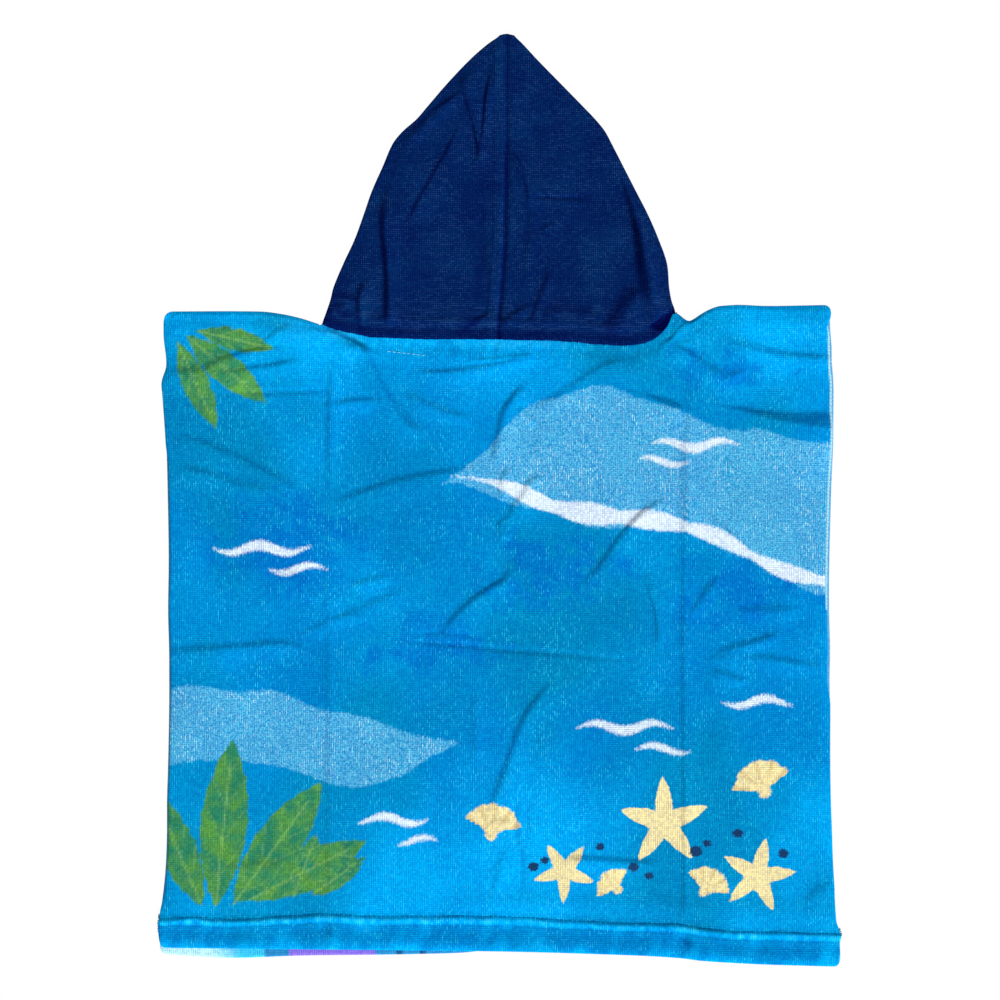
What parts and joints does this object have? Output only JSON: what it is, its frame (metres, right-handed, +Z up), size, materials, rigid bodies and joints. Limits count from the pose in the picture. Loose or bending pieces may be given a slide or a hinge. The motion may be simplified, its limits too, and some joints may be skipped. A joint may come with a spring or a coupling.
{
  "type": "hooded bath poncho",
  "caption": "Child's hooded bath poncho in printed towelling, laid out flat on its front with its back and the back of its hood uppermost.",
  "frame": {"origin": "centre of the bounding box in plan, on the floor that the garment lies on", "axes": "+Y from the hem to the tip of the hood, +Z up from the floor through the garment's front and then its back, +X to the right of someone looking down on the back with the hood away from them"},
  "size_m": [0.6149, 0.8398, 0.0084],
  "materials": {
    "back_print": null,
    "front_print": "printed velour towelling, matt, aqua with a lilac patch",
    "hood_cloth": "plain dyed velour towelling, matt, navy",
    "thread": "spun polyester sewing thread"
  },
  "bodies": {
    "root": {"front_panel": "front_print", "back_panel": "back_print", "hood_left": "hood_cloth", "hood_right": "hood_cloth"}
  },
  "joints": []
}
